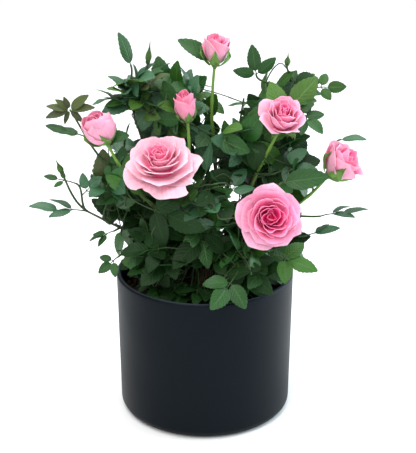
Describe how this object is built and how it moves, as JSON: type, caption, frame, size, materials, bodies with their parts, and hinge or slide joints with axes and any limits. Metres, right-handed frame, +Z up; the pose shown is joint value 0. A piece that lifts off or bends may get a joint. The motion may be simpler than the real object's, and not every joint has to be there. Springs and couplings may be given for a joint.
{
  "type": "potted miniature rose bush",
  "caption": "Bushy miniature rose in a plain round pot: thin canes fork from a short stem and carry open pink blooms, buds and toothed leaves.",
  "frame": {"origin": "centre of the pot's flat underside", "axes": "+Z up, -Y is the front of the plant, +X is its right seen from the front"},
  "size_m": [0.2441, 0.1798, 0.2834],
  "materials": {
    "pot": "matt black glaze with a soft sheen",
    "soil": "dark crumbly peat",
    "wood": "rough brown bark",
    "cane": "smooth green bark with thorns",
    "petal": "velvety pale pink, deeper at the heart",
    "leaf": "leathery dark green with a low gloss"
  },
  "bodies": {
    "root": {"pot": "pot", "soil": "soil", "stem": "wood", "cane_back_left_leafy": "cane", "cane_back_right_leafy": "cane", "cane_front_left": "cane", "cane_front_right": "cane", "cane_high_left_leafy": "cane", "cane_high_right_leafy": "cane", "cane_left": "cane", "cane_low_left_leafy": "cane", "cane_right": "cane", "cane_top": "cane", "cane_upper_centre": "cane", "cane_upper_right": "cane", "rose_front_left": "petal", "rose_front_right": "petal", "rose_left": "petal", "rose_right": "petal", "rose_top": "petal", "rose_upper_centre": "petal", "rose_upper_right": "petal", "leaves_high_back_left": "leaf", "leaves_high_back_right": "leaf", "leaves_high_centre": "leaf", "leaves_high_left": "leaf", "leaves_high_middle": "leaf", "leaves_high_right": "leaf", "leaves_low_back_left": "leaf", "leaves_low_back_right": "leaf", "leaves_low_front_left": "leaf", "leaves_low_front_right": "leaf", "leaves_low_left": "leaf", "leaves_low_right": "leaf", "leaves_mid_back_left": "leaf", "leaves_mid_back_right": "leaf", "leaves_mid_front": "leaf", "leaves_mid_left": "leaf", "leaves_mid_right": "leaf", "spray_back_high": "leaf", "spray_back_low": "leaf", "spray_bud_top_left": "leaf", "spray_bud_top_right": "leaf", "spray_front": "leaf", "spray_left_bud": "leaf", "spray_left_far": "leaf", "spray_left_inner": "leaf", "spray_left_mid": "leaf", "spray_left_shoot": "leaf", "spray_low_left": "leaf", "spray_low_right": "leaf", "spray_right_far": "leaf", "spray_right_front": "leaf", "spray_right_high": "leaf", "spray_right_low": "leaf", "spray_right_tip": "leaf", "spray_right_upper": "leaf", "spray_top_bloom": "leaf", "spray_top_left": "leaf", "spray_top_right_leaf": "leaf"}
  },
  "joints": []
}
